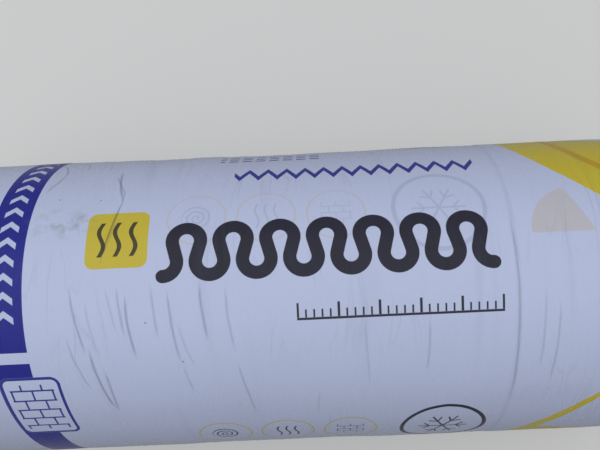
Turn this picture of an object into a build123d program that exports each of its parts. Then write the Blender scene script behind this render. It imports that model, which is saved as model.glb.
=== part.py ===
from build123d import *
from math import atan2, cos, degrees, hypot, radians, sin
import os

# A roll of glass wool insulation in its film, lying on the ground. The roll lies along X, Z points up,
# and the origin is on the ground below the middle of the roll. All sizes are in millimetres.

# The wool, wound up into one roll
wool_diameter = 450.0
wool_length = 1200.0
turn_thickness = 28.0
eye_diameter = 40.0

# The film pulls each rim of the wool round, which is built as a few narrow flats
rim_radius = 26.0
rim_flats = 4

# The gap that opens between two turns on an end of the wool
gap_width = 7.0
gap_depth = 10.0

# The film, a few turns of it with the air that is caught between them
film_thickness = 1.0
film_clearance = 0.3

# The strip along the roll where the film's end laps over its start
lap_thickness = 0.6
lap_width = 130.0
lap_direction = -50.0

# The film gathered in over an end, up to a round mouth
collar_thickness = 3.2
mouth_diameter = 270.0

# The valleys between the gathered film's pleats
pleat_count = 36
valley_reach = 52.0
valley_depth = 2.2
valley_width = 14.0

# What follows from them
wool_radius = wool_diameter / 2
wool_half = wool_length / 2
eye_radius = eye_diameter / 2
mouth_radius = mouth_diameter / 2
sleeve_radius = wool_radius + film_clearance
sleeve_half = wool_half + film_clearance
sleeve_rim = rim_radius + film_clearance
middle_radius = sleeve_radius + film_thickness / 2
middle_half = sleeve_half + collar_thickness / 2
roll_half = sleeve_half + collar_thickness
axis_height = sleeve_radius + film_thickness
lap_angle = degrees(lap_width / axis_height)

roll_axis = Axis((0, 0, axis_height), (1, 0, 0))
roll_plane = Plane(origin=(0, 0, axis_height), x_dir=(0, 1, 0), z_dir=(1, 0, 0))


def section_plane(direction):
    """The half plane through the roll's axis, at this angle from +Y up over the top of the roll."""
    angle = radians(direction)
    return Plane(origin=roll_axis.position, x_dir=(1, 0, 0), z_dir=(0, -sin(angle), cos(angle)))


def half_outline(half_length, radius, rounding):
    """Half of an outline with rounded rims, from the middle of the long side to the foot of a rim."""
    centre = Vector(half_length - rounding, radius - rounding)
    angles = [90 * (rim_flats - step) / rim_flats for step in range(rim_flats + 1)]
    return [Vector(0, radius), *(centre + Vector(rounding, 0).rotate(Axis.Z, angle) for angle in angles)]


def turned_section(points, direction):
    """A section on one side of the axis: the face inside these points and its mirror image."""
    with BuildSketch(section_plane(direction)) as section:
        with BuildLine():
            Polyline(*points, close=True)
        make_face()
        mirror(about=Plane.YZ)
    return section.sketch


# The gap between the turns is a V cut along a spiral of half circles, whose centres take turns on the two
# sides of the axis. It starts at the eye and stops short of the rounded rim.
half_turn_growth = turn_thickness / 2
last_gap_radius = wool_radius - rim_radius - gap_width / 2
half_turns = int((last_gap_radius - eye_radius) / half_turn_growth)
end_plane = roll_plane.offset(wool_half)
start_plane = Plane(origin=end_plane.from_local_coords((eye_radius, 0, 0)), x_dir=(0, 1, 0), z_dir=(0, 0, 1))

with BuildPart() as turn_gaps:
    with BuildLine(end_plane) as spiral:
        for half_turn in range(half_turns):
            side = -1 if half_turn % 2 == 0 else 1
            centre = (side * half_turn_growth / 2, 0)
            radius = eye_radius + half_turn_growth * (half_turn + 0.5)
            CenterArc(centre, radius, 90 + side * 90, 180)
    with BuildSketch(start_plane):
        with BuildLine():
            Polyline((0, gap_depth), (gap_width, -gap_depth), (-gap_width, -gap_depth), close=True)
        make_face()
    sweep(path=spiral.wires()[0])
    mirror(about=Plane.YZ)

with BuildPart() as wool_roll:
    wool_outline = half_outline(wool_half, wool_radius, rim_radius)
    revolve(turned_section([*wool_outline, (wool_half, eye_radius), (0, eye_radius)], 90), axis=roll_axis)
    add(turn_gaps.part, mode=Mode.SUBTRACT)

# One valley between two pleats, for both ends, with Z along the roll's axis. It starts at nothing on the
# flat of the collar, and gets deeper and wider towards the mouth.
valley_slope = atan2(valley_depth, valley_reach)
valley_start = (0, mouth_radius + valley_reach, roll_half)
valley_plane = Plane(origin=valley_start, x_dir=(1, 0, 0), z_dir=(0, -cos(valley_slope), -sin(valley_slope)))
valley_length = hypot(valley_reach, valley_depth) + collar_thickness

with BuildPart() as pleat_valley:
    with BuildSketch(valley_plane):
        with BuildLine():
            Polyline((0, 0), (valley_width, 2 * valley_depth), (-valley_width, 2 * valley_depth), close=True)
        make_face()
    extrude(amount=valley_length, both=True)
    mirror(about=Plane.XY)

# The lap is one more layer along the roll. It grows out of the film's wall, and on its way round the rims it
# dips to the middle of the collars, which are thicker.
inner_outline = half_outline(sleeve_half, sleeve_radius, sleeve_rim)
middle_outline = half_outline(sleeve_half + film_thickness / 2, middle_radius, sleeve_rim)
outer_outline = half_outline(roll_half, axis_height, sleeve_rim + film_thickness)
lap_outline = half_outline(middle_half, axis_height + lap_thickness, sleeve_rim + film_thickness)
mouth_edge = [(roll_half, mouth_radius), (sleeve_half, mouth_radius)]

with BuildPart(roll_plane) as film_wrap:
    sleeve = turned_section([*outer_outline, *mouth_edge, *reversed(inner_outline)], 90)
    revolve(sleeve, axis=roll_axis)
    lap = turned_section([*lap_outline, *reversed(middle_outline)], lap_direction - lap_angle / 2)
    revolve(lap, axis=roll_axis, revolution_arc=lap_angle)
    with PolarLocations(0, pleat_count):
        add(pleat_valley.part, mode=Mode.SUBTRACT)

os.makedirs("parts", exist_ok=True)
wool_roll.part.label = "wool_roll"
export_step(wool_roll.part, "parts/wool_roll.step")
film_wrap.part.label = "film_wrap"
export_step(film_wrap.part, "parts/film_wrap.step")
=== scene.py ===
"""A roll of glass wool insulation in its printed film, lying on a pale floor."""

from math import cos, pi, radians, sin

import bpy
import numpy as np
from bpy.props import FloatProperty, FloatVectorProperty, IntProperty, PointerProperty
from bpy.types import Operator, Panel, PropertyGroup
from mathutils import Euler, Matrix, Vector


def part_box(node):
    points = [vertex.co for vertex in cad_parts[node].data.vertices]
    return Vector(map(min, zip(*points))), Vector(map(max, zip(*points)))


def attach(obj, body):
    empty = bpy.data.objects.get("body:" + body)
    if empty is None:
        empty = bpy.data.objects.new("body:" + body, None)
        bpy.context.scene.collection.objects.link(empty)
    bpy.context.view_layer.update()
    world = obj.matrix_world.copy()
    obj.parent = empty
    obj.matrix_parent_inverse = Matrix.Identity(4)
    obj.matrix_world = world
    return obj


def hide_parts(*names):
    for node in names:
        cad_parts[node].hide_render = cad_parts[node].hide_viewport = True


bl_info = {
    "name": "Insulation roll",
    "version": (1, 0, 0),
    "blender": (4, 5, 0),
    "location": "3D View > Sidebar > Insulation roll",
    "description": "Builds a lying roll of glass wool insulation in its printed film",
    "category": "Add Mesh",
}

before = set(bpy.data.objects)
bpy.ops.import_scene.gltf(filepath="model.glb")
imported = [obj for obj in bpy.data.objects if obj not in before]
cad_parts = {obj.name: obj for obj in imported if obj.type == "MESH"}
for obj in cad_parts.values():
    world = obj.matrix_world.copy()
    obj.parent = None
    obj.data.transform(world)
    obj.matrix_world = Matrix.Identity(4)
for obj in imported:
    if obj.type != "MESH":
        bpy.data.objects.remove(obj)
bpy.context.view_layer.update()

# The roll lies along X, and its sizes come from the CAD film: the half length and the radius over the film.
FILM_LOW, FILM_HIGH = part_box("film_wrap")
HALF_LENGTH = FILM_HIGH.x
RADIUS = (FILM_HIGH.y - FILM_LOW.y) / 2
WOOL_LOW, WOOL_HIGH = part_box("wool_roll")
WOOL_HALF = WOOL_HIGH.x
WOOL_RADIUS = (WOOL_HIGH.y - WOOL_LOW.y) / 2
TURN = 2 * pi

# The place along the roll of the crease that runs all round it
RING_CREASE = 0.2785


def smooth_step(value, low, high):
    """0 below low, 1 above high, and a smooth rise in between."""
    share = np.clip((value - low) / (high - low), 0, 1)
    return share * share * (3 - 2 * share)


def random_field(along, angle, cell_along, cell_around, seed):
    """Smooth random values from -1 to 1, which come round to themselves after one turn."""
    rows = int(2.2 / cell_along) + 4
    columns = max(3, round(TURN * RADIUS / cell_around))
    lattice = np.random.default_rng(seed).uniform(-1, 1, (rows, columns))
    row = along / cell_along + rows / 2
    column = angle / TURN * columns
    low_row = np.floor(row).astype(int)
    low_column = np.floor(column).astype(int)
    row_share = smooth_step(row - low_row, 0, 1)
    column_share = smooth_step(column - low_column, 0, 1)
    first, second = np.clip([low_row, low_row + 1], 0, rows - 1)
    left, right = low_column % columns, (low_column + 1) % columns
    top = lattice[first, left] * (1 - column_share) + lattice[first, right] * column_share
    bottom = lattice[second, left] * (1 - column_share) + lattice[second, right] * column_share
    return top * (1 - row_share) + bottom * row_share


def film_relief(along, angle, crease_depth):
    """How far the stretched film stands off its plain surface, and how deep in a crease it is.

    The places are given along the roll and as angles from its top."""
    lumps = 0.0011 * random_field(along, angle, 0.21, 0.30, 1)
    lumps = lumps + 0.0006 * random_field(along, angle, 0.075, 0.16, 2)
    # Long waves round the roll, where the film is pulled tight. They lean a little on the left half.
    slanted = along - 0.10 * RADIUS * angle * smooth_step(-along, -0.1, 0.25)
    broad = random_field(slanted, angle, 0.016, 0.30, 3)
    fine = random_field(slanted, angle, 0.0100, 0.20, 4)
    strength = 0.35 + 0.65 * smooth_step(random_field(along, angle, 0.13, 0.20, 6), -0.5, 0.7)
    pulled = strength * (0.00034 * broad + 0.00022 * fine)
    relief = lumps + crease_depth * pulled
    # How creased the film is here, which the material turns into painted shade
    creased = 0.40 * smooth_step(-pulled, 0.00010, 0.0005)
    # One step all round the roll, with a valley along its foot
    ring = along - RING_CREASE - 0.0012 * random_field(along * 0, angle, 0.1, 0.12, 7)
    valley = np.exp(-((ring / 0.0024) ** 2))
    relief += crease_depth * (0.0003 * np.tanh(ring / 0.0022) - 0.0006 * valley)
    return relief, creased + 0.5 * valley


def rested(across, height):
    """The flat that the soft roll rests on: points below it are pushed up, and a little outwards."""
    resting = 0.0016
    sunk = smooth_step(resting - height, 0, 0.004)
    return across * (1 + 0.01 * sunk), np.maximum(height, 0.0002 + 0.1 * np.maximum(height, 0))


def new_piece(name, points, faces, uv, material, creased=None):
    """A smooth mesh object at the origin, with its own UV map in metres shrunk to fit the unit square."""
    mesh = bpy.data.meshes.new(name)
    mesh.from_pydata(points.tolist(), [], faces)
    mesh.polygons.foreach_set("use_smooth", np.ones(len(mesh.polygons), bool))
    corners = np.zeros(len(mesh.loops), np.int32)
    mesh.loops.foreach_get("vertex_index", corners)
    layer = mesh.uv_layers.new(name="unrolled")
    layer.data.foreach_set("uv", uv[corners].astype(np.float32).ravel())
    if creased is not None:
        mesh.attributes.new("creased", "FLOAT", "POINT").data.foreach_set("value", creased.astype(np.float32))
    mesh.materials.append(material)
    mesh.update()
    piece = bpy.data.objects.new(name, mesh)
    bpy.context.scene.collection.objects.link(piece)
    return piece


def grid_faces(first, rows, columns, closed=False):
    """Four-sided faces over a grid of points that is stored row by row."""
    faces = []
    for row in range(rows - 1):
        base = first + row * columns
        for column in range(columns if closed else columns - 1):
            following = (column + 1) % columns
            above = base + columns
            faces.append((base + column, base + following, above + following, above + column))
    return faces


# The unrolled film: its UV map has this many metres to one unit, and its middle lies at this place in the map
MAP_METRES = 1.6
MAP_MIDDLE = (0.5, 0.4)

# The film's run round the roll, as angles from the top, counted towards the camera's side. Its columns divide
# one turn and the lap evenly, and its two ends have twice as many.
TURN_COLUMNS = 175
LAP_COLUMNS = 16
COLUMN_ANGLE = TURN / TURN_COLUMNS
LAP_ANGLE = LAP_COLUMNS * COLUMN_ANGLE
LAP_START = radians(-140) - LAP_ANGLE / 2
STRAIGHT_ROWS = 374

# The gathered ends start at this place along the roll, and reach this far on along the film. Drawn in tight,
# the film takes a little less. The left end is the right one's mirror image, turned on by some of its columns.
END_START = 0.545
END_LENGTH = 0.143
DRAWN_LENGTH = 0.1375
END_ROWS = 38
LEFT_END_TURN = 130

# The round rim of the film, measured at the middle of its wall, and half of that wall
FILM_RIM = 0.0273
HALF_WALL = 0.0008

# How far the hem is lifted off the film's plain section, and how far the straight film lies inside the CAD one
HEM_GAP = 0.0018
FILM_INSET = 0.0006


def film_profile(distance):
    """The film's section at a distance from its middle: place along the roll, radius and outward normal."""
    straight = HALF_LENGTH - HALF_WALL - FILM_RIM
    turned = np.clip((distance - straight) / FILM_RIM, 0, pi / 2)
    beyond = np.maximum(distance - straight - FILM_RIM * pi / 2, 0)
    along = np.minimum(distance, straight) + FILM_RIM * np.sin(turned)
    radius = RADIUS - FILM_RIM * (1 - np.cos(turned)) - beyond
    return along, radius, np.sin(turned), np.cos(turned)


def round_axis(along, radius, angle):
    """Points at places along the roll, radii from its axis and angles from its top. The axis is at height 0."""
    along, radius, angle = np.broadcast_arrays(along, radius, angle)
    return np.stack([along, -radius * np.sin(angle), radius * np.cos(angle)], -1)


def end_grid(columns):
    """The distances along the film and the angles of this many columns of a gathered end."""
    sizes = np.linspace(END_START, END_START + END_LENGTH, END_ROWS)
    angles = LAP_START + LAP_ANGLE + np.arange(columns) * COLUMN_ANGLE / 2
    return np.meshgrid(sizes, angles, indexing="ij")


def pleated_end(size, angle, settings):
    gathered = smooth_step(size, END_START, END_START + END_LENGTH)
    level = size * 0
    wander = 1.2 * random_field(level, angle, 0.1, 0.080, 11)
    wander = wander + 0.6 * random_field(level, angle, 0.1, 0.030, 12)
    phase = settings.pleat_count * angle + wander
    uneven = 0.8 + 0.3 * random_field(level, angle, 0.1, 0.057, 14)
    pleats = settings.pleat_depth * gathered * uneven * (0.5 + 0.5 * np.cos(phase))
    reach = END_START + (size - END_START) * DRAWN_LENGTH / END_LENGTH
    along, radius, normal_along, normal_out = film_profile(reach)
    radius += 0.004 * gathered * random_field(level, angle, 0.1, 0.068, 13)
    lean = 0.35 * gathered * np.sin(phase) / settings.pleat_count
    raised = pleats + HEM_GAP * gathered
    return round_axis(along + raised * normal_along, radius + raised * normal_out, angle + lean)


def plain_object(name, points, faces):
    """An object for the simulation alone."""
    mesh = bpy.data.meshes.new(name)
    mesh.from_pydata(points.tolist(), [], faces)
    item = bpy.data.objects.new(name, mesh)
    bpy.context.scene.collection.objects.link(item)
    return item


def wool_body():
    """The plain body that the film's end is drawn over in the simulation."""
    face = WOOL_HALF - 0.001
    side = WOOL_RADIUS - 0.001
    rim = 0.0255
    bend = np.linspace(0, pi / 2, 9)
    along = np.concatenate([[0.5], face - rim + rim * np.sin(bend), [face, face]])
    radius = np.concatenate([[side], side - rim + rim * np.cos(bend), [0.10, 0.02]])
    angles = np.linspace(0, TURN, 128, endpoint=False)
    points = round_axis(along[:, None], radius[:, None], angles)
    return points.reshape(-1, 3), grid_faces(0, len(along), len(angles), closed=True)


def gathered_end(settings):
    """The film's right end, drawn in over the wool as a cloth that starts as a straight sleeve."""
    size, angle = end_grid(2 * TURN_COLUMNS)
    target = pleated_end(size, angle, settings)
    rows, columns = size.shape
    sleeve = round_axis(size, RADIUS, angle)
    film = plain_object("film_end", sleeve.reshape(-1, 3), grid_faces(0, rows, columns, closed=True))
    body = plain_object("wool_body", *wool_body())
    body.modifiers.new("body", "COLLISION")
    body.collision.thickness_outer = 0.002
    body.collision.cloth_friction = 5

    film.shape_key_add(name="sleeve")
    drawn = film.shape_key_add(name="drawn_in")
    places = sleeve.copy()
    places[-1] = target[-1]
    drawn.data.foreach_set("co", places.astype(np.float32).ravel())
    held = film.vertex_groups.new(name="held")
    held.add([*range(3 * columns), *range((rows - 1) * columns, rows * columns)], 1.0, "REPLACE")
    drawing, settling = 30, 10
    for value, moment in ((0, 1), (1, drawing)):
        drawn.value = value
        drawn.keyframe_insert("value", frame=moment)

    cloth = film.modifiers.new("film", "CLOTH")
    stiffness = cloth.settings
    stiffness.quality = 6
    stiffness.mass = 0.08
    stiffness.tension_stiffness = stiffness.compression_stiffness = 30
    stiffness.shear_stiffness = 8
    stiffness.bending_stiffness = 0.05
    stiffness.tension_damping = stiffness.compression_damping = 10
    stiffness.shear_damping = 8
    stiffness.bending_damping = 0.5
    stiffness.air_damping = 2
    stiffness.effector_weights.gravity = 0
    stiffness.vertex_group_mass = "held"
    cloth.collision_settings.distance_min = 0.0015
    cloth.point_cache.frame_start = 1
    cloth.point_cache.frame_end = drawing + settling
    scene = bpy.context.scene
    for moment in range(1, drawing + settling + 1):
        scene.frame_set(moment)
    posed = film.evaluated_get(bpy.context.evaluated_depsgraph_get())
    points = np.zeros(rows * columns * 3, np.float32)
    posed.data.vertices.foreach_get("co", points)
    scene.frame_set(1)
    for item in (film, body):
        mesh = item.data
        bpy.data.objects.remove(item)
        bpy.data.meshes.remove(mesh)
    return points.reshape(rows, columns, 3).astype(float)


def lap_rise(distance, angle):
    """How far the film's outer layer stands off, from the climb over its own start to its free edge."""
    climbing = smooth_step(angle, LAP_START + TURN - 0.02, LAP_START + TURN + 0.03)
    lifting = smooth_step(angle, LAP_START + TURN + LAP_ANGLE - 0.05, LAP_START + TURN + LAP_ANGLE)
    return 0.0011 * climbing + 0.0008 * lifting * (0.6 + random_field(distance, angle, 0.06, 0.1, 15))


def unrolled(distance, angle):
    """Places in the film's UV map."""
    return np.stack([distance / MAP_METRES + MAP_MIDDLE[0], angle * RADIUS / MAP_METRES + MAP_MIDDLE[1]], -1)


def straight_part(settings):
    """The film along the roll, between its gathered ends: points, UV places and creases."""
    distances = np.linspace(-END_START, END_START, STRAIGHT_ROWS)
    angles = LAP_START + np.arange(TURN_COLUMNS + LAP_COLUMNS + 1) * COLUMN_ANGLE
    distance, angle = np.meshgrid(distances, angles, indexing="ij")
    relief, creased = film_relief(distance, angle, settings.crease_depth)
    radius = RADIUS + relief + lap_rise(distance, angle) - FILM_INSET
    return round_axis(distance, radius, angle), unrolled(distance, angle), creased


def end_part(shape, side, turned, settings):
    """One gathered end from the drawn-in shape, mirrored for the left and turned by some columns."""
    columns = shape.shape[1]
    order = (np.arange(columns + 1) - turned) % columns
    swing = turned * COLUMN_ANGLE / 2
    points = shape[:, order]
    across = points[..., 1] * cos(swing) - points[..., 2] * sin(swing)
    up = points[..., 1] * sin(swing) + points[..., 2] * cos(swing)
    points = np.stack([points[..., 0], across, up], -1)
    size, angle = end_grid(columns + 1)
    outward = np.cross(np.gradient(points, axis=1), np.gradient(points, axis=0))
    outward /= np.linalg.norm(outward, axis=-1, keepdims=True)
    relief, creased = film_relief(side * size, angle, settings.crease_depth)
    fading = 1 - smooth_step(size, END_START, 0.59)
    off = relief * fading + lap_rise(side * size, angle) - FILM_INSET * fading
    points = points + off[..., None] * outward
    # How deep in a fold of the gathered end a place lies, which the material turns into painted shade
    hollow = points - (np.roll(points, 3, axis=1) + np.roll(points, -3, axis=1)) / 2
    folded = np.clip(-(hollow * outward).sum(-1) / 0.0025, 0, 1) * (1 - fading)
    points[..., 0] *= side
    return points[1:], unrolled(side * size, angle)[1:], (creased * fading + 0.8 * folded)[1:]


def film_mesh(settings, material):
    """The whole film as one open sheet. Its first columns lie under the lap, and have no gathered ends."""
    shape = gathered_end(settings)
    left_end = end_part(shape, -1, LEFT_END_TURN, settings)
    right_end = end_part(shape, 1, 0, settings)
    parts = [straight_part(settings), left_end, right_end]
    columns = parts[0][0].shape[1]
    fine = left_end[0].shape[1]
    left = STRAIGHT_ROWS * columns
    right = left + left_end[0].shape[0] * fine
    faces = grid_faces(0, STRAIGHT_ROWS, columns)
    faces += [face[::-1] for face in grid_faces(left, END_ROWS - 1, fine)]
    faces += grid_faces(right, END_ROWS - 1, fine)
    last = (STRAIGHT_ROWS - 1) * columns
    for column in range(TURN_COLUMNS):
        # Each column of the straight film meets two of an end in one five-sided face
        near, far = column + LAP_COLUMNS, column + LAP_COLUMNS + 1
        end = left + 2 * column
        faces.append((far, near, end, end + 1, end + 2))
        end = right + 2 * column
        faces.append((last + near, last + far, end + 2, end + 1, end))
    points = np.concatenate([part[0].reshape(-1, 3) for part in parts])
    uv = np.concatenate([part[1].reshape(-1, 2) for part in parts])
    creased = np.concatenate([part[2].ravel() for part in parts])
    points[:, 2] += RADIUS
    points[:, 1], points[:, 2] = rested(points[:, 1], points[:, 2])
    return new_piece("printed_film_wrap", points, faces, uv, material, creased)


# The wound wool: its eye, the thickness of a turn, its rims, and its body, which is a little slimmer than the
# CAD wool. Past the last radius the film hides its ends.
EYE_RADIUS = 0.020
TURN_THICKNESS = 0.028
WOOL_RIM = 0.026
BODY_RADIUS = WOOL_RADIUS - 0.004
SEEN_RADIUS = 0.150


def wool_section(rows):
    """The wool's section from an edge of its eye round to the other one: radii and places along the roll."""
    bend = np.linspace(0, pi / 2, 6)[1:]
    seen = np.linspace(EYE_RADIUS, SEEN_RADIUS, rows)
    under_film = np.linspace(SEEN_RADIUS, BODY_RADIUS - WOOL_RIM, 6)[1:]
    radii = np.concatenate([seen, under_film, BODY_RADIUS - WOOL_RIM + WOOL_RIM * np.sin(bend)])
    places = np.full(len(radii), WOOL_HALF)
    places[-len(bend):] -= WOOL_RIM * (1 - np.cos(bend))
    side = np.linspace(WOOL_HALF - WOOL_RIM, 0, 8)[1:-1]
    bore = np.linspace(-WOOL_HALF, WOOL_HALF, 16)[1:-1]
    long_side = np.full(2 * len(side) + 1, BODY_RADIUS)
    all_radii = np.concatenate([radii, long_side, radii[::-1], np.full(len(bore), EYE_RADIUS)])
    all_places = np.concatenate([places, side, [0], -side[::-1], -places[::-1], bore])
    return all_radii, all_places


def wool_points(rows, columns, settings):
    """The wound wool from an edge of its eye round to the other one, as rings of points with its turns."""
    radii, places = wool_section(rows)
    angles = np.linspace(0, TURN, columns, endpoint=False)
    radius, angle = np.meshgrid(radii, angles, indexing="ij")
    place = np.broadcast_to(places[:, None], radius.shape)
    side = np.sign(place)
    on_end = smooth_step(np.abs(place), WOOL_HALF - 0.004, WOOL_HALF - 0.001)

    # The turns wander a little. Each has its own height, and sinks in towards the gap on its two sides.
    uneven = 0.07 * random_field(radius * 4, angle, 0.11, 0.16, 21)
    uneven = uneven + 0.03 * random_field(radius, angle, 0.01, 0.05, 22)
    wound = (radius - EYE_RADIUS) / TURN_THICKNESS - side * angle / TURN + uneven
    within = wound % 1.0
    to_gap = np.minimum(within, 1 - within) * TURN_THICKNESS
    sunk = 0.0090 * np.exp(-((to_gap / 0.0028) ** 2)) + 0.0035 * np.exp(-((to_gap / 0.0075) ** 2))
    shift = 0.0022 * np.sin(np.floor(wound) * 2.4 + side)
    shift = shift + 0.0012 * random_field(radius, angle, 0.05, 0.2, 25)

    tufts = 0.0016 * random_field(radius * 20 + side, angle, 0.10, 0.030, 23)
    tufts = tufts + 0.0011 * random_field(radius * 40, angle, 0.09, 0.013, 24)
    inward = settings.turn_depth * sunk + tufts * settings.tuft_depth + 0.0016 + np.abs(shift)
    inward = inward * on_end * (1 - smooth_step(radius, 0.150, 0.175))
    inward = inward + 0.0008 + 0.0020 * smooth_step(radius, 0.160, 0.200)
    ragged = 1 + 0.06 * random_field(place, angle, 0.02, 0.02, 26) * (radius < EYE_RADIUS + 0.001)
    place = place - side * inward
    radius = radius * ragged
    points = round_axis(place, radius, angle)
    points[..., 2] += RADIUS
    uv = np.stack([angle * 0.1 + 0.05, radius + 0.1 * (place > 0)], -1)
    return points.reshape(-1, 3), uv.reshape(-1, 2), len(radii)


def wool_mesh(settings, material):
    """The wound wool as one closed mesh."""
    columns = 420
    points, uv, rings = wool_points(66, columns, settings)
    faces = grid_faces(0, rings, columns, closed=True)
    base = (rings - 1) * columns
    for column in range(columns):
        following = (column + 1) % columns
        faces.append((base + column, base + following, following, column))
    faces = [face[::-1] for face in faces]
    return new_piece("wound_glass_wool", points, faces, uv, material)


class Field:
    """A value over a surface. Each sum with it adds one node to its material."""

    def __init__(self, tree, socket):
        self.tree = tree
        self.socket = socket

    def math(self, operation, *others, clamp=False):
        node = self.tree.nodes.new("ShaderNodeMath")
        node.operation = operation
        node.use_clamp = clamp
        for entry, value in zip(node.inputs, (self, *others)):
            if isinstance(value, Field):
                self.tree.links.new(value.socket, entry)
            else:
                entry.default_value = value
        return Field(self.tree, node.outputs[0])

    def __add__(self, other):
        return self.math("ADD", other)

    def __sub__(self, other):
        return self.math("SUBTRACT", other)

    def __mul__(self, other):
        return self.math("MULTIPLY", other)

    def __abs__(self):
        return self.math("ABSOLUTE")

    def least(self, other):
        return self.math("MINIMUM", other)

    def most(self, other):
        return self.math("MAXIMUM", other)

    def repeated(self, period):
        """The same place in each copy of a pattern, from minus half to half of its period."""
        return self.math("WRAP", period / 2, -period / 2)

    def ramp(self, slope, start):
        """A straight line over the value, kept between 0 and 1."""
        return self.math("MULTIPLY_ADD", slope, start, clamp=True)

    def ink(self, softness=0.0006):
        """1 inside a shape, where its distance is below 0, and 0 outside it."""
        return self.ramp(-1 / softness, 0.5)

    def within(self, low, high):
        """The distance to a stretch, which is below 0 inside it."""
        return abs(self - (low + high) / 2) - (high - low) / 2


def span(x, y):
    """How far a place is from the origin."""
    return (x * x + y * y).math("SQRT")


def stroke(x, y, start, end):
    """The distance to a straight line between two points."""
    step_x, step_y = end[0] - start[0], end[1] - start[1]
    square = step_x**2 + step_y**2
    off_x, off_y = x - start[0], y - start[1]
    share = (off_x * (step_x / square) + off_y * (step_y / square)).math("ADD", 0.0, clamp=True)
    return span(off_x - share * step_x, off_y - share * step_y)


def rounded_box(x, y, half_x, half_y, corner):
    """The distance to a box with round corners at the origin."""
    off_x = abs(x) - (half_x - corner)
    off_y = abs(y) - (half_y - corner)
    return span(off_x.most(0.0), off_y.most(0.0)) + off_x.most(off_y).least(0.0) - corner


def new_material(name):
    """An empty material, its node tree and its shader."""
    material = bpy.data.materials.new(name)
    material.use_nodes = True
    tree = material.node_tree
    tree.nodes.clear()
    output = tree.nodes.new("ShaderNodeOutputMaterial")
    shader = tree.nodes.new("ShaderNodeBsdfPrincipled")
    tree.links.new(shader.outputs[0], output.inputs[0])
    return material, tree, shader


def painted(tree, under, mask, colour):
    """A colour, or another node's colour, laid over what is under it where a mask is 1."""
    node = tree.nodes.new("ShaderNodeMix")
    node.data_type = "RGBA"
    tree.links.new(mask.socket, node.inputs["Factor"])
    for name, value in (("A", under), ("B", colour)):
        entry = next(item for item in node.inputs if item.name == name and item.type == "RGBA")
        if isinstance(value, bpy.types.NodeSocket):
            tree.links.new(value, entry)
        else:
            entry.default_value = (*value, 1)
    return next(item for item in node.outputs if item.type == "RGBA")


def place_vector(tree, x, y, z=0.0):
    """The values of up to three fields as one vector."""
    node = tree.nodes.new("ShaderNodeCombineXYZ")
    for entry, value in zip(node.inputs, (x, y, z)):
        if isinstance(value, Field):
            tree.links.new(value.socket, entry)
        else:
            entry.default_value = value
    return node.outputs[0]


def noise(tree, vector, scale, detail=2.0, roughness=0.5, distortion=0.0):
    """A random field from 0 to 1."""
    node = tree.nodes.new("ShaderNodeTexNoise")
    node.inputs["Scale"].default_value = scale
    node.inputs["Detail"].default_value = detail
    node.inputs["Roughness"].default_value = roughness
    node.inputs["Distortion"].default_value = distortion
    tree.links.new(vector, node.inputs["Vector"])
    return Field(tree, node.outputs[0])


def bumped(tree, shader, height, distance):
    """A height in parts of a distance, as the shader's relief."""
    node = tree.nodes.new("ShaderNodeBump")
    node.inputs["Distance"].default_value = distance
    node.inputs["Strength"].default_value = 1.0
    tree.links.new(height.socket, node.inputs["Height"])
    tree.links.new(node.outputs[0], shader.inputs["Normal"])


# The print comes again after this much film round the roll, and the copy that faces up starts at this place
PRINT_PERIOD = 0.5566
PRINT_TOP = -0.2515

# The place round the roll where the wave of the yellow field is farthest from the end of the roll
WAVE_CREST = -0.2584


def loop_row(x, y, radius, height, slant, thickness):
    """Half of the looped line that stands for a wool blanket in drawings: the loops on its upper side."""
    reach = (height - radius * sin(slant)) / cos(slant)
    foot = radius * cos(slant) - reach * sin(slant)
    period = 4 * foot
    side = abs(x.repeated(period))
    rise = y * -1 - height
    round_part = abs(span(side, rise) - radius) - thickness / 2
    facing = side * sin(slant) + rise * cos(slant)
    # Below the loop's shoulders its arc ends, and a straight leg leads down to the middle line
    round_part = round_part.most(facing * -1)
    shoulder = (radius * cos(slant), height - radius * sin(slant))
    leg = stroke(side, y * -1, shoulder, (foot, 0.0)) - thickness / 2
    return round_part.least(leg)


def wool_sign(x, y, periods):
    """The looped line, this many loops long, centred at the origin."""
    radius, height, slant, thickness = 0.0174, 0.0135, radians(15), 0.0165
    reach = (height - radius * sin(slant)) / cos(slant)
    period = 4 * (radius * cos(slant) - reach * sin(slant))
    upper = loop_row(x, y, radius, height, slant, thickness)
    lower = loop_row(x - period / 2, y * -1, radius, height, slant, thickness)
    half = period * periods / 2
    end = span(abs(x) - half, y - (height + radius)) - thickness / 2
    return upper.least(lower).most(abs(x) - half).least(end)


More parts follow.
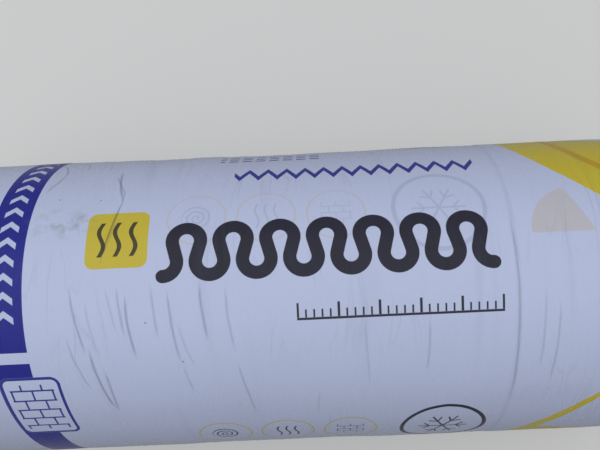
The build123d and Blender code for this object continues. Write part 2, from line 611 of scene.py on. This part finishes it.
def badges(x, y):
    """The row of thin rings with their signs: three rings in yellow, and the large one and all signs dark."""
    yellow = None
    for place in (-0.1032, -0.0157, 0.0718):
        ring = abs(span(x - place, y) - 0.0365) - 0.0010
        yellow = ring if yellow is None else yellow.least(ring)
    dark = abs(span(x - 0.201, y) - 0.0570) - 0.0028
    # A wound roll seen from its end
    off_x = x + 0.1032
    winding = span(off_x, y) - off_x.math("ARCTAN2", y) * (0.007 / TURN)
    coil = (abs(winding.repeated(0.007)) - 0.0011).most(span(off_x, y) - 0.019)
    # Three waves of warmth
    off_x = x + 0.0157
    wave = (off_x - (y * 180.0).math("SINE") * 0.0024).repeated(0.012)
    warmth = (abs(wave) - 0.0012).most(abs(off_x) - 0.016).most(abs(y) - 0.018)
    # Bricks
    off_x = x - 0.0718
    bricks = wall_lines(off_x, y, 0.018, 0.010, 0.0011).most(rounded_box(off_x, y, 0.020, 0.017, 0.004))
    # A star of frost in the large ring
    off_x = x - 0.201
    turned = y.math("ARCTAN2", off_x).repeated(TURN / 6)
    far = span(off_x, y)
    arm_x, arm_y = far * turned.math("COSINE"), abs(far * turned.math("SINE"))
    arm = (arm_y - 0.0013).most(arm_x - 0.034)
    twig = stroke(arm_x, arm_y, (0.018, 0.0), (0.026, 0.009)) - 0.0012
    dark = dark.least(coil).least(warmth).least(bricks).least(arm).least(twig)
    return yellow, dark


def wall_lines(x, y, length, height, thickness):
    """The distance to the joints of a brick wall."""
    course = y.math("FLOORED_MODULO", 2 * height) - height
    bed = abs(y.repeated(height)) - thickness / 2
    shift = course.math("GREATER_THAN", 0.0) * (length / 2)
    upright = abs((x + shift).repeated(length)) - thickness / 2
    return bed.least(upright)


def wave_edge(phase):
    """Where the yellow field at the right end of the film starts, along the roll."""
    lower_side = (phase + 0.1).math("SINE").least(0.0) * -0.035
    return lower_side + phase.math("COSINE") * -0.0870 + (phase * 2.0).math("COSINE") * 0.0104 + 0.3840


# The crisp creases in the film: where each starts and ends round the roll, counted from the top, its place
# along the roll at its start, middle and end, and its depth
CREASES = [
    (-0.005, 0.082, -0.2670, -0.2605, -0.2520, 1.0),
    (0.010, 0.090, -0.2475, -0.2430, -0.2350, 0.5),
    (0.070, 0.168, -0.2480, -0.2425, -0.2310, 1.4),
    (0.100, 0.172, -0.2340, -0.2305, -0.2290, 1.1),
    (0.055, 0.135, -0.2750, -0.2660, -0.2540, 0.7),
    (-0.005, 0.055, -0.2235, -0.2165, -0.2110, 0.5),
    (-0.005, 0.060, -0.2095, -0.2055, -0.2015, 0.8),
    (0.005, 0.090, -0.1985, -0.1960, -0.1895, 1.2),
    (-0.005, 0.065, -0.1685, -0.1645, -0.1605, 0.7),
    (0.000, 0.100, -0.1480, -0.1430, -0.1355, 0.9),
    (0.045, 0.105, -0.1360, -0.1290, -0.1185, 0.5),
    (0.100, 0.140, -0.1350, -0.1315, -0.1275, 0.6),
    (-0.005, 0.070, -0.1085, -0.1055, -0.1005, 1.0),
    (0.000, 0.085, -0.0775, -0.0745, -0.0695, 0.7),
    (0.095, 0.190, -0.0690, -0.0610, -0.0530, 0.8),
    (0.050, 0.145, 0.0900, 0.0925, 0.0960, 0.5),
    (0.050, 0.125, 0.1680, 0.1685, 0.1670, 0.7),
    (0.145, 0.195, 0.0315, 0.0300, 0.0285, 0.4),
    (-0.085, 0.190, 0.2785, 0.2790, 0.2780, 0.9),
    (0.020, 0.130, 0.3110, 0.3100, 0.3070, 0.6),
    (0.035, 0.150, 0.3290, 0.3270, 0.3230, 0.7),
    (-0.195, -0.125, -0.2250, -0.2205, -0.2110, 1.3),
    (-0.120, -0.030, -0.2125, -0.2195, -0.2310, 0.9),
    (-0.230, -0.190, -0.3180, -0.3075, -0.3040, 0.9),
    (-0.195, -0.145, -0.3040, -0.3085, -0.3190, 0.9),
    (-0.245, -0.205, -0.2900, -0.2820, -0.2780, 0.5),
    (-0.250, -0.200, -0.2560, -0.2500, -0.2470, 0.4),
]


def crease_lines(x, y):
    """How deep in a crease a place is, and how high on the ridge beside it."""
    valleys = ridges = None
    for start, end, first, second, third, depth in CREASES:
        middle, half = (start + end) / 2, (end - start) / 2
        bend, slope, place = np.polyfit([-half, 0, half], [first, second, third], 2)
        off = y - middle
        line = (off * float(bend)).math("ADD", float(slope)).math("MULTIPLY_ADD", off, float(place))
        aside = x - line
        valley = abs(aside).ramp(-1 / 0.0019, 1.0)
        ridge = abs(aside + 0.0034).ramp(-1 / 0.0032, 1.0)
        taper = abs(off).ramp(-2.5 / half, 2.5) * depth
        valleys = valley * taper if valleys is None else valley.math("MULTIPLY_ADD", taper, valleys)
        ridges = ridge * taper if ridges is None else ridge.math("MULTIPLY_ADD", taper, ridges)
    return valleys, ridges


def tone(colour, share):
    """A colour made darker or lighter."""
    return tuple(share * part for part in colour)


def lower_print(tree, film, x, y):
    """The film's colour with the print of the layer below, which shows through faintly."""
    rings, signs = badges(x + 0.010, y + 0.090)
    film = painted(tree, film, signs.ink(0.0012) * 0.20, (0.10, 0.11, 0.22))
    film = painted(tree, film, rings.ink(0.0012) * 0.35, (0.50, 0.40, 0.22))
    below = y + 0.048
    sector = (span(x - 0.366, below) - 0.066).most(below).most(x - 0.379 - below * 0.45)
    return painted(tree, film, sector.ink(0.0012) * 0.42, (0.50, 0.41, 0.26))


def yellow_wave(tree, film, x, y, yellow):
    """The film's colour with the yellow wave at the right end, and the deeper stripe in it."""
    phase = (y - WAVE_CREST) * (TURN / PRINT_PERIOD)
    edge = wave_edge(phase)
    width = (phase + 0.35).math("SINE").most(0.0) * 0.25 + phase.math("COSINE").most(0.0) * 0.012 + 0.011
    field = (edge - x).most(x - edge - width).ink()
    stripe = (x - edge).within(0.060, 0.074).ink(0.0015) * field
    film = painted(tree, film, field * 0.97, yellow)
    return painted(tree, film, stripe * 0.70, (0.48, 0.26, 0.010))


def navy_band(tree, film, x, y, settings):
    """The film's colour with the band at the left and its gap, its arrow heads and its framed brick wall."""
    band = x.within(-0.370, -0.3239).most(y.within(0.0723, 0.0869) * -1.0)
    middle = x + 0.347
    arrows = abs((y - abs(middle) * 0.8).repeated(0.0235)) - 0.0042
    arrows = arrows.most(abs(middle) - 0.0115).most(y.within(-0.2500, 0.0400))
    film = painted(tree, film, band.ink() * 0.985, settings.navy_ink)
    film = painted(tree, film, arrows.ink() * 0.93, settings.film_colour)
    frame_x, frame_y = x + 0.331, y - 0.158
    panel = rounded_box(frame_x, frame_y, 0.038, 0.052, 0.012)
    inside = rounded_box(frame_x, frame_y, 0.028, 0.041, 0.005)
    wall = wall_lines(frame_x, frame_y, 0.026, 0.016, 0.0024).most(inside)
    film = painted(tree, film, panel.ink(), settings.film_colour)
    return painted(tree, film, (abs(panel + 0.002) - 0.002).least(wall).ink() * 0.95, settings.navy_ink)


def small_signs(tree, film, x, y, settings):
    """The film's colour with the navy zigzag and short bars, the ruler and the row of rings."""
    zigzag = y + 0.170 - (x.math("PINGPONG", 0.0125) * 1.5 - 0.009375)
    zigzag = (abs(zigzag) * 0.55 - 0.0030).most(x.within(-0.070, 0.2505))
    bars = (y + 0.231).repeated(0.011).within(-0.0022, 0.0022)
    bars = bars.most(x.repeated(0.019).within(-0.0068, 0.0068))
    bars = bars.most(x.within(-0.095, 0.049)).most(y.within(-0.2480, -0.2150))
    film = painted(tree, film, zigzag.least(bars + 0.0002).ink() * 0.95, settings.navy_ink)
    along = x - 0.0091
    short_ticks = (abs(along.repeated(0.0100)) - 0.0011).most(y.within(0.0340, 0.0440))
    long_ticks = (abs(along.repeated(0.0500)) - 0.0016).most(y.within(0.0260, 0.0440))
    ruler = short_ticks.least(long_ticks).least(y.within(0.0440, 0.0470)).most(x.within(0.0080, 0.2602))
    rings, signs = badges(x, y - 0.243)
    film = painted(tree, film, ruler.least(signs).ink() * 0.97, (0.008, 0.009, 0.022))
    return painted(tree, film, rings.ink() * 0.95, settings.yellow_ink)


# Marks on the film, as places along the roll and round it from its top: the corners of a dark line that lies in
# a crease, and the specks of dirt
DARK_LINE = (
    (-0.2290, -0.1770),
    (-0.2112, -0.1400),
    (-0.2112, -0.1200),
    (-0.2205, -0.0780),
    (-0.2265, -0.0520),
)
SPECKS = ((-0.2939, -0.1318), (-0.2399, -0.1282), (-0.1762, 0.0417), (-0.1354, 0.0936))


def dirt_and_dark_line(tree, film, x, around, on_tile):
    """The film's colour with a dark line along a crease, which shows most on the tile, and with specks of dirt
    and a smudge.
    """
    line = specks = None
    for start, end in zip(DARK_LINE, DARK_LINE[1:]):
        piece = stroke(x, around, start, end)
        line = piece if line is None else line.least(piece)
    film = painted(tree, film, (line - 0.0005).ink(0.0014) * (on_tile * 0.35 + 0.55), (0.05, 0.04, 0.03))
    for place in SPECKS:
        speck = span(x - place[0], around - place[1]) - 0.0009
        specks = speck if specks is None else specks.least(speck)
    film = painted(tree, film, specks.ink(0.0012) * 0.8, (0.03, 0.03, 0.035))
    smudge = span((x + 0.280) * 0.8, (around + 0.093) * 1.6).ramp(-22.0, 1.0)
    grime = noise(tree, place_vector(tree, x, around), 55.0, 4.0, 0.65).ramp(4.0, -1.9)
    return painted(tree, film, smudge * grime * 0.85, (0.20, 0.23, 0.19))


def film_material(settings):
    """The printed film: a milky semi-gloss sheet with its print, the print below it, some dirt, painted shade
    in its creases and painted sheen on its dark ink.
    """
    material, tree, shader = new_material("printed_film")
    source = tree.nodes.new("ShaderNodeUVMap")
    source.uv_map = "unrolled"
    split = tree.nodes.new("ShaderNodeSeparateXYZ")
    tree.links.new(source.outputs[0], split.inputs[0])
    x = (Field(tree, split.outputs[0]) - MAP_MIDDLE[0]) * MAP_METRES
    around = (Field(tree, split.outputs[1]) - MAP_MIDDLE[1]) * MAP_METRES
    print_middle = PRINT_TOP + PRINT_PERIOD / 2
    y = (around - print_middle).repeated(PRINT_PERIOD) + print_middle

    # Streaks and crumpling all over the film, its crisp creases, and an area of close ripples
    streaks = noise(tree, place_vector(tree, x, around * 0.09), 100.0, 2.0, 0.5, 0.5)
    clouds = noise(tree, place_vector(tree, x, around), 5.0, 3.0)
    crinkle = noise(tree, place_vector(tree, x, around * 0.24), 95.0, 2.0, 0.55, 1.4)
    bent = x + (clouds - 0.5) * 0.010 + (crinkle - 0.5) * 0.0012
    creases, ridges = crease_lines(bent, around)
    rippled = rounded_box(x - 0.330, around - 0.100, 0.055, 0.075, 0.02).ramp(-1 / 0.03, 0.2)
    ripples = noise(tree, place_vector(tree, bent, around * 0.12), 190.0, 1.0, 0.5, 0.4) * rippled

    # Fine creases that come and go
    wandering = place_vector(tree, x + clouds * 0.03, around * 0.15)
    folds = abs(noise(tree, wandering, 46.0, 1.0, 0.4, 0.6) - 0.5).ramp(-24.0, 1.0)
    strained = noise(tree, place_vector(tree, x, around, 3.0), 9.0, 1.0)
    folds = folds * strained.ramp(5.0, -2.4)
    taut = strained.ramp(2.0, -0.6)

    film = painted(tree, tone(settings.film_colour, 0.94), clouds, settings.film_colour)
    film = lower_print(tree, film, x, y)
    yellow = painted(tree, tone(settings.yellow_ink, 1.0), clouds * 0.5, tone(settings.yellow_ink, 1.25))
    film = yellow_wave(tree, film, x, y, yellow)
    film = navy_band(tree, film, x, y, settings)

    # The large looped line, its dark ink lighter along streaks: painted sheen on the fine ripples of the pulled
    # film
    loops = wool_sign(x - 0.0485, y + 0.0447, 7)
    ink_with_painted_sheen = painted(tree, tone(settings.dark_ink, 1.0), streaks, tone(settings.dark_ink, 1.8))
    film = painted(tree, film, loops.ink() * 0.985, ink_with_painted_sheen)

    # The yellow tile with three waves of warmth
    tile_x, tile_y = x + 0.2105, y + 0.0652
    tile = rounded_box(tile_x, tile_y, 0.0385, 0.0385, 0.011).ink()
    film = painted(tree, film, tile * 0.96, yellow)
    wave = (tile_x - (tile_y * 150.0).math("SINE") * 0.0034).repeated(0.020)
    warmth = (abs(wave) - 0.0028).most(abs(tile_x) - 0.027).most(abs(tile_y) - 0.0235)
    # The waves in the same dark ink, with its painted sheen
    film = painted(tree, film, warmth.ink() * 0.9, ink_with_painted_sheen)

    film = small_signs(tree, film, x, y, settings)
    film = dirt_and_dark_line(tree, film, x, around, tile)

    # Painted shade: the film is darker down in its creases and folds
    attribute = tree.nodes.new("ShaderNodeAttribute")
    attribute.attribute_name = "creased"
    shade = (Field(tree, attribute.outputs["Fac"]) * 0.8 + creases * 1.1 + folds * 0.25).ramp(1.0, 0.0)
    film = painted(tree, film, shade * 0.30, (0.09, 0.10, 0.16))
    tree.links.new(film, shader.inputs["Base Color"])
    roughness = crinkle.math("MULTIPLY_ADD", 0.14, 0.20)
    tree.links.new(roughness.socket, shader.inputs["Roughness"])
    shader.inputs["Specular IOR Level"].default_value = 0.25

    # The gathered ends have short folds that point at the mouth in place of the streaks
    height = crinkle * 0.24 + streaks * taut * 0.22 + ripples * 0.45 + ridges * 0.22
    height = height - creases * 0.36 - folds * 0.18
    at_end = abs(x).ramp(1 / 0.03, -0.555 / 0.03)
    gathers = noise(tree, place_vector(tree, x * 0.30, around), 130.0, 2.0, 0.5, 0.6)
    height = height * (at_end * -1.0 + 1.0) + gathers * at_end * 0.30
    bumped(tree, shader, height, 0.0020)
    return material


def wool_material(settings):
    """Glass wool: ochre fibres that lie along the turns, with painted shade down in the gaps."""
    material, tree, shader = new_material("glass_wool")
    source = tree.nodes.new("ShaderNodeTexCoord")
    split = tree.nodes.new("ShaderNodeSeparateXYZ")
    tree.links.new(source.outputs["Object"], split.inputs[0])
    x = Field(tree, split.outputs[0])
    across = Field(tree, split.outputs[1])
    height = Field(tree, split.outputs[2]) - RADIUS
    radius = span(across, height)
    aside, up = across.math("DIVIDE", radius), height.math("DIVIDE", radius)
    place = place_vector(tree, aside * 3.5, up * 3.5, radius * 300.0 + x * 200.0)
    layers = noise(tree, place, 1.0, 3.0, 0.6, 0.5)
    place = place_vector(tree, aside * 9.0, up * 9.0, radius * 520.0 + x * 300.0)
    strands = noise(tree, place, 1.0, 3.0, 0.7, 1.0)
    fibres = noise(tree, place_vector(tree, across, height, x), 330.0, 4.0, 0.75, 1.5)
    tufts = noise(tree, source.outputs["Object"], 75.0, 3.0, 0.6)
    base = tone(settings.wool_colour, 1.0)
    pale = (min(1.25 * base[0], 1.0), 1.35 * base[1], 1.9 * base[2])
    colour = painted(tree, tone(base, 0.58), layers.ramp(3.2, -1.0), base)
    colour = painted(tree, colour, strands.ramp(6.0, -3.0) * 0.7, pale)
    colour = painted(tree, colour, fibres.ramp(6.0, -3.2) * 0.5, pale)
    colour = painted(tree, colour, tufts.ramp(5.0, -2.6) * 0.35, tone(base, 0.5))
    # Painted shade: the wool is darker where it lies deeper in than its ends, down in the gaps between its
    # turns
    depth = abs(x).ramp(-120.0, 120.0 * (WOOL_HALF - 0.004))
    colour = painted(tree, colour, depth * 0.75, tone(base, 0.28))
    tree.links.new(colour, shader.inputs["Base Color"])
    shader.inputs["Roughness"].default_value = 0.95
    shader.inputs["Specular IOR Level"].default_value = 0.2
    shader.inputs["Sheen Weight"].default_value = 0.25
    shader.inputs["Sheen Roughness"].default_value = 0.5
    bumped(tree, shader, layers * 0.32 + strands * 0.36 + fibres * 0.32, 0.006)
    return material


def seen_directly(tree):
    """1 where a surface is seen or shows through a clear thing, half in a reflection, and otherwise 0."""
    path = tree.nodes.new("ShaderNodeLightPath")
    kinds = ("Camera", "Glossy", "Transmission")
    camera, glossy, clear = (Field(tree, path.outputs[f"Is {kind} Ray"]) for kind in kinds)
    return camera.most(glossy * 0.5).most(clear)


def floor_material(settings):
    """The plain floor: pale where it is seen, with its shadows, and darker in the light that it throws."""
    material, tree, shader = new_material("plain_floor")
    seen = seen_directly(tree)
    colour = painted(tree, tone(settings.floor_colour, 0.12), seen, settings.floor_colour)
    tree.links.new(colour, shader.inputs["Base Color"])
    shader.inputs["Roughness"].default_value = 0.9
    shader.inputs["Specular IOR Level"].default_value = 0.0
    shader.inputs["Emission Color"].default_value = (1, 1, 1, 1)
    tree.links.new((seen * 0.24).socket, shader.inputs["Emission Strength"])
    return material


def sky_world(settings):
    """An even sky that is brighter overhead, behind a plain pale background."""
    world = bpy.data.worlds.new("even_sky")
    world.use_nodes = True
    tree = world.node_tree
    tree.nodes.clear()
    output = tree.nodes.new("ShaderNodeOutputWorld")
    sky = tree.nodes.new("ShaderNodeBackground")
    seen = tree.nodes.new("ShaderNodeBackground")
    choice = tree.nodes.new("ShaderNodeMixShader")
    direction = tree.nodes.new("ShaderNodeTexCoord")
    split = tree.nodes.new("ShaderNodeSeparateXYZ")
    tree.links.new(direction.outputs["Generated"], split.inputs[0])
    overhead = Field(tree, split.outputs[2]).most(0.0)
    strength = overhead * (0.90 * settings.sky) + 0.06 * settings.sky
    tree.links.new(strength.socket, sky.inputs["Strength"])
    sky.inputs["Color"].default_value = (0.95, 0.975, 1.0, 1)
    seen.inputs["Color"].default_value = (*settings.background_colour, 1)
    tree.links.new(seen_directly(tree).socket, choice.inputs[0])
    tree.links.new(sky.outputs[0], choice.inputs[1])
    tree.links.new(seen.outputs[0], choice.inputs[2])
    tree.links.new(choice.outputs[0], output.inputs[0])
    return world


def colour_setting(name, description, default):
    """A colour that a user may change."""
    return FloatVectorProperty(
        name=name, description=description, default=default, subtype="COLOR", min=0, max=1
    )


class FilmSettings(PropertyGroup):
    """The film's colours and relief"""

    film_colour: colour_setting("Film", "Colour of the bare film", (0.511, 0.563, 0.770))
    dark_ink: colour_setting("Dark ink", "Colour of the large sign", (0.008, 0.008, 0.018))
    navy_ink: colour_setting("Navy ink", "Colour of the band", (0.007, 0.011, 0.235))
    yellow_ink: colour_setting("Yellow ink", "Colour of the field", (0.530, 0.424, 0.016))
    crease_depth: FloatProperty(
        name="Crease depth",
        description="Strength of the film's creases, where 1 is as built",
        default=1.0,
        min=0,
        max=3,
    )
    pleat_count: IntProperty(
        name="Pleats", description="Number of pleats in a gathered end", default=34, min=8, max=60
    )
    pleat_depth: FloatProperty(
        name="Pleat depth",
        description="Height of the pleats at the mouth",
        default=0.016,
        unit="LENGTH",
        min=0,
        max=0.02,
    )


class WoolSettings(PropertyGroup):
    """The wool's colour and relief"""

    wool_colour: colour_setting("Wool", "Colour of the glass wool", (0.86, 0.64, 0.19))
    turn_depth: FloatProperty(
        name="Gap depth",
        description="Depth of the gaps between turns, where 1 is as built",
        default=1.0,
        min=0,
        max=2,
    )
    tuft_depth: FloatProperty(
        name="Tuft depth", description="Depth of the tufts, where 1 is as built", default=1.0, min=0, max=2
    )


class StageSettings(PropertyGroup):
    """The floor and the light"""

    floor_colour: colour_setting("Floor", "Colour of the floor", (0.40, 0.40, 0.395))
    background_colour: colour_setting("Background", "Colour behind the floor", (0.515, 0.52, 0.52))
    sky: FloatProperty(
        name="Sky", description="Strength of the even light, where 1 is as built", default=1.0, min=0, max=3
    )
    lamp: FloatProperty(
        name="Lamp", description="Power of the lamp overhead", default=18.0, unit="POWER", min=0, max=500
    )


class ROLL_OT_wool(Operator):
    """Build the wound glass wool with the turns on its two ends"""

    bl_idname = "roll.wool"
    bl_label = "Glass wool"
    bl_options = {"REGISTER", "UNDO"}

    def execute(self, context):
        settings = context.scene.roll_wool
        wool = wool_mesh(settings, wool_material(settings))
        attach(wool, "root")
        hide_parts("wool_roll")
        return {"FINISHED"}


class ROLL_OT_film(Operator):
    """Build the printed film round the wool, with its lap, its creases and its gathered ends"""

    bl_idname = "roll.film"
    bl_label = "Printed film"
    bl_options = {"REGISTER", "UNDO"}

    def execute(self, context):
        settings = context.scene.roll_film
        film = film_mesh(settings, film_material(settings))
        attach(film, "root")
        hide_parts("film_wrap")
        return {"FINISHED"}


class ROLL_OT_stage(Operator):
    """Set up the floor, the light and the camera"""

    bl_idname = "roll.stage"
    bl_label = "Floor, light and camera"
    bl_options = {"REGISTER", "UNDO"}

    def execute(self, context):
        scene = context.scene
        settings = scene.roll_stage
        bpy.ops.object.select_all(action="DESELECT")
        bpy.ops.mesh.primitive_circle_add(vertices=96, radius=40, fill_type="NGON", location=(0, 0, 0))
        floor = context.object
        floor.name = "floor"
        floor.data.materials.append(floor_material(settings))

        scene.world = sky_world(settings)

        # Each lamp is a disc that faces the roll: its name, place, size and power
        lamps = (
            ("lamp_overhead", (-0.5, 0.30, 3.1), 4.4, settings.lamp),
            ("lamp_left", (-2.6, 0.6, 1.3), 2.4, 0.85 * settings.lamp),
            ("lamp_right", (2.6, 0.1, 1.2), 1.3, 0.50 * settings.lamp),
        )
        for name, place, size, power in lamps:
            lamp = bpy.data.lights.new(name, "AREA")
            lamp.shape = "DISK"
            lamp.size = size
            lamp.energy = power
            holder = bpy.data.objects.new(name, lamp)
            scene.collection.objects.link(holder)
            holder.location = place
            towards_roll = Vector((0, 0, 0.2)) - holder.location
            holder.rotation_euler = towards_roll.to_track_quat("-Z", "Y").to_euler()

        # The camera stands where the photograph was taken from, almost straight above the roll
        lens = bpy.data.cameras.new("camera")
        camera = bpy.data.objects.new("camera", lens)
        scene.collection.objects.link(camera)
        lens.lens = 31.6
        lens.sensor_width = 36.0
        lens.shift_x = -0.0279
        lens.shift_y = 0.1285
        camera.location = (0.034, -0.06985, 1.08561)
        camera.rotation_mode = "YXZ"
        camera.rotation_euler = Euler((0.0693, 0.0052, -0.0455), "YXZ")
        scene.camera = camera
        scene.view_settings.view_transform = "Standard"
        return {"FINISHED"}


class ROLL_PT_sidebar(Panel):
    """The roll's settings and pieces"""

    bl_idname = "ROLL_PT_sidebar"
    bl_label = "Insulation roll"
    bl_space_type = "VIEW_3D"
    bl_region_type = "UI"
    bl_category = "Insulation roll"

    def draw(self, context):
        for piece in ("wool", "film", "stage"):
            box = self.layout.box()
            settings = getattr(context.scene, f"roll_{piece}")
            for name in settings.bl_rna.properties.keys():
                if name not in ("rna_type", "name"):
                    box.prop(settings, name)
            box.operator(f"roll.{piece}")


CLASSES = (
    FilmSettings,
    WoolSettings,
    StageSettings,
    ROLL_OT_wool,
    ROLL_OT_film,
    ROLL_OT_stage,
    ROLL_PT_sidebar,
)


def register():
    """Add the classes and their settings."""
    for item in CLASSES:
        bpy.utils.register_class(item)
    bpy.types.Scene.roll_film = PointerProperty(type=FilmSettings)
    bpy.types.Scene.roll_wool = PointerProperty(type=WoolSettings)
    bpy.types.Scene.roll_stage = PointerProperty(type=StageSettings)


def unregister():
    """Take the classes and their settings away."""
    del bpy.types.Scene.roll_stage
    del bpy.types.Scene.roll_wool
    del bpy.types.Scene.roll_film
    for item in reversed(CLASSES):
        bpy.utils.unregister_class(item)


def main():
    """Build the whole scene."""
    register()
    bpy.ops.roll.wool()
    bpy.ops.roll.film()
    bpy.ops.roll.stage()


if __name__ == "__main__":
    main()
